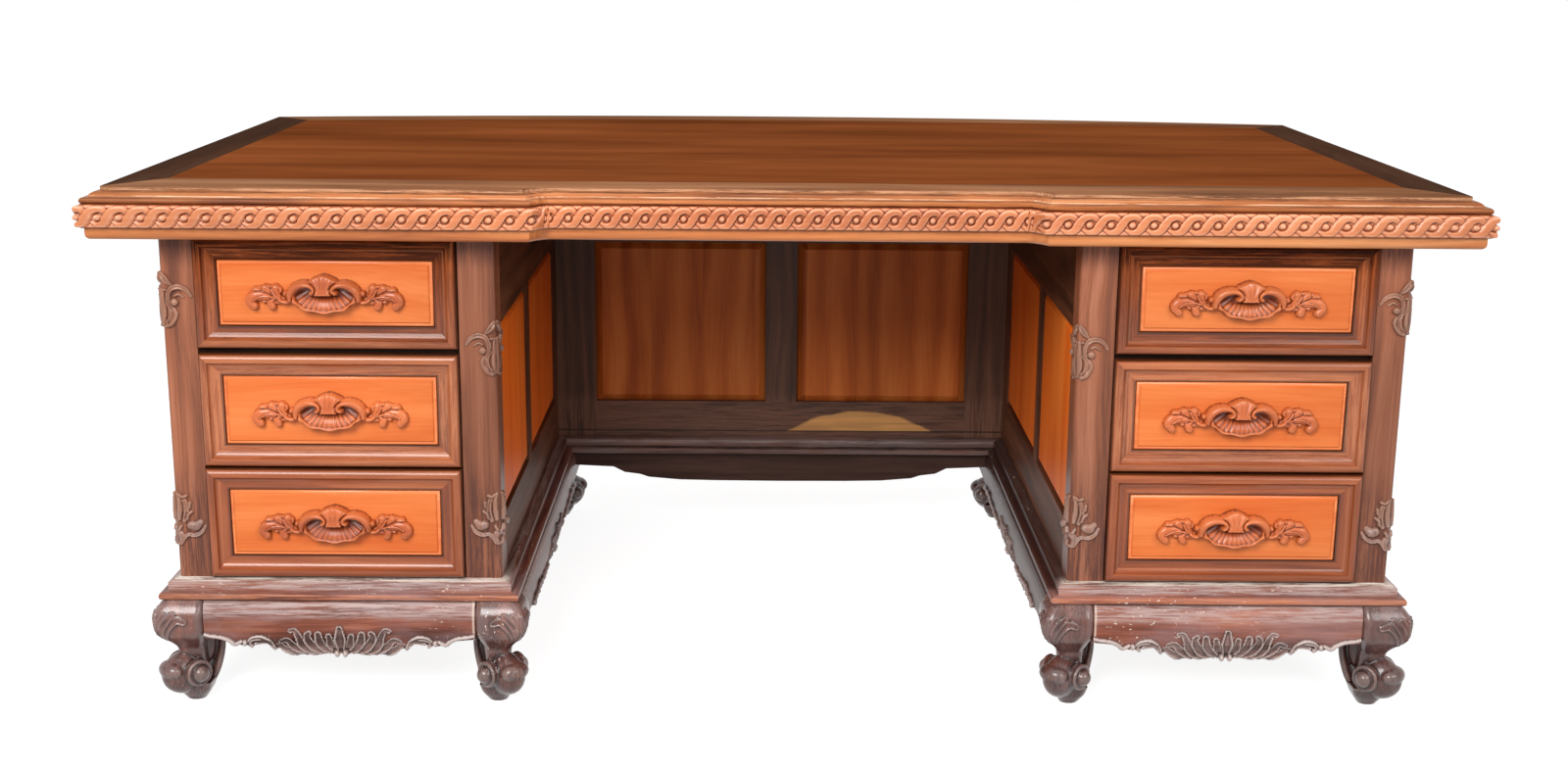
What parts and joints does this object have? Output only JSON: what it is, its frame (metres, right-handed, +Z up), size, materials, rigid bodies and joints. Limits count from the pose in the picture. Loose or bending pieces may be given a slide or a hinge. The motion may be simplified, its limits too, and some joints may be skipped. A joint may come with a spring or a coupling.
{
  "type": "writing desk",
  "caption": "Carved double pedestal writing desk with drawers beside a kneehole, a moulded top with a set back middle and a bowed back, and cabriole feet.",
  "frame": {"origin": "on the floor, under the middle of the top's bounding box", "axes": "+X along the desk to the sitter's right, +Y from the drawer side to the visitor's side, +Z up"},
  "size_m": [2.042, 1.1948, 0.8],
  "materials": {
    "field_wood": "polished orange-brown board with fine straight grain",
    "border_wood": "polished dark brown with darker streaks",
    "moulding_wood": "satin mid brown moulding",
    "band_wood": "satin orange carving",
    "post_wood": "satin dark brown with streaky upright grain",
    "frame_wood": "satin reddish brown",
    "panel_wood": "satin bright orange with fine grain",
    "base_wood": "satin dark red-brown, edges worn pale",
    "inner_wood": "plain unpolished wood",
    "screw_steel": "plain steel"
  },
  "bodies": {
    "desk": {"top_field": "field_wood", "top_border": "border_wood", "top_edge_moulding": "moulding_wood", "carved_band": "band_wood", "under_moulding": "moulding_wood", "top_bearers": "inner_wood", "top_screws": "screw_steel", "modesty_frame": "post_wood", "modesty_panels": "panel_wood", "waist_moulding_link": "base_wood", "apron_link": "base_wood", "front_posts_left": "post_wood", "back_posts_left": "post_wood", "side_frame_left_outer": "post_wood", "side_frame_left_inner": "post_wood", "side_panels_left_outer": "panel_wood", "side_panels_left_inner": "panel_wood", "back_frame_left": "post_wood", "back_panel_left": "panel_wood", "drawer_rails_left": "inner_wood", "waist_moulding_left": "base_wood", "aprons_left": "base_wood", "legs_left": "base_wood", "front_posts_right": "post_wood", "back_posts_right": "post_wood", "side_frame_right_outer": "post_wood", "side_frame_right_inner": "post_wood", "side_panels_right_outer": "panel_wood", "side_panels_right_inner": "panel_wood", "back_frame_right": "post_wood", "back_panel_right": "panel_wood", "drawer_rails_right": "inner_wood", "waist_moulding_right": "base_wood", "aprons_right": "base_wood", "legs_right": "base_wood"},
    "drawer_left_bottom": {"drawer_frame_left_bottom": "frame_wood", "drawer_panel_left_bottom": "panel_wood", "drawer_pull_left_bottom": "panel_wood", "drawer_box_left_bottom": "inner_wood"},
    "drawer_left_middle": {"drawer_frame_left_middle": "frame_wood", "drawer_panel_left_middle": "panel_wood", "drawer_pull_left_middle": "panel_wood", "drawer_box_left_middle": "inner_wood"},
    "drawer_left_top": {"drawer_frame_left_top": "frame_wood", "drawer_panel_left_top": "panel_wood", "drawer_pull_left_top": "panel_wood", "drawer_box_left_top": "inner_wood"},
    "drawer_right_bottom": {"drawer_frame_right_bottom": "frame_wood", "drawer_panel_right_bottom": "panel_wood", "drawer_pull_right_bottom": "panel_wood", "drawer_box_right_bottom": "inner_wood"},
    "drawer_right_middle": {"drawer_frame_right_middle": "frame_wood", "drawer_panel_right_middle": "panel_wood", "drawer_pull_right_middle": "panel_wood", "drawer_box_right_middle": "inner_wood"},
    "drawer_right_top": {"drawer_frame_right_top": "frame_wood", "drawer_panel_right_top": "panel_wood", "drawer_pull_right_top": "panel_wood", "drawer_box_right_top": "inner_wood"}
  },
  "joints": [
    {"name": "drawer_left_bottom_slide", "type": "slide", "parent": "desk", "child": "drawer_left_bottom", "axis": [0, -1, 0], "range_m": [0, 0.42]},
    {"name": "drawer_left_middle_slide", "type": "slide", "parent": "desk", "child": "drawer_left_middle", "axis": [0, -1, 0], "range_m": [0, 0.42]},
    {"name": "drawer_left_top_slide", "type": "slide", "parent": "desk", "child": "drawer_left_top", "axis": [0, -1, 0], "range_m": [0, 0.42]},
    {"name": "drawer_right_bottom_slide", "type": "slide", "parent": "desk", "child": "drawer_right_bottom", "axis": [0, -1, 0], "range_m": [0, 0.42]},
    {"name": "drawer_right_middle_slide", "type": "slide", "parent": "desk", "child": "drawer_right_middle", "axis": [0, -1, 0], "range_m": [0, 0.42]},
    {"name": "drawer_right_top_slide", "type": "slide", "parent": "desk", "child": "drawer_right_top", "axis": [0, -1, 0], "range_m": [0, 0.42]}
  ]
}
